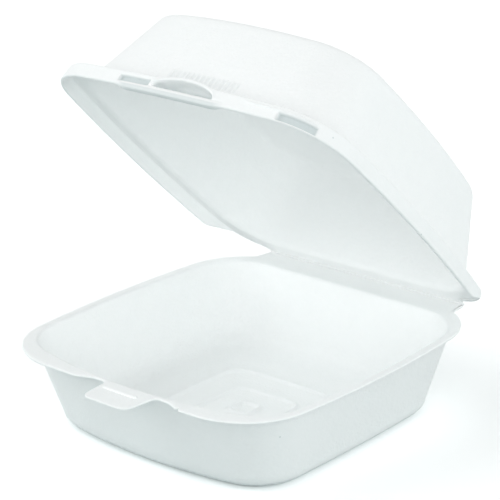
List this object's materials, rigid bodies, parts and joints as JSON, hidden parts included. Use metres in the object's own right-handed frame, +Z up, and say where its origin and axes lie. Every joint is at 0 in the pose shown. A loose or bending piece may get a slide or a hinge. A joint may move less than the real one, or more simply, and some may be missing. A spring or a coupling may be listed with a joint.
{
  "type": "hinged foam food container",
  "caption": "Hinged foam clamshell food container: a flared square tray with a rim flange and lock tab, and a domed lid with a skirt and lock slot, joined by a crease at the back.",
  "frame": {"origin": "middle of the tray's flat foot, on the surface it rests on", "axes": "+X along the hinge to the right seen from the front, +Y from the lock at the front to the hinge at the back, +Z up"},
  "size_m": [0.153, 0.1897, 0.1689],
  "materials": {
    "foam": "white foamed polystyrene with a fine cell grain and a satin skin"
  },
  "bodies": {
    "tray": {"tray": "foam"},
    "lid": {"lid": "foam"}
  },
  "joints": [
    {"name": "lid_hinge", "type": "hinge", "parent": "tray", "child": "lid", "pos_m": [0, 0.084, 0.0375], "axis": [-1, 0, 0], "range_deg": [-42.7, 125]}
  ]
}
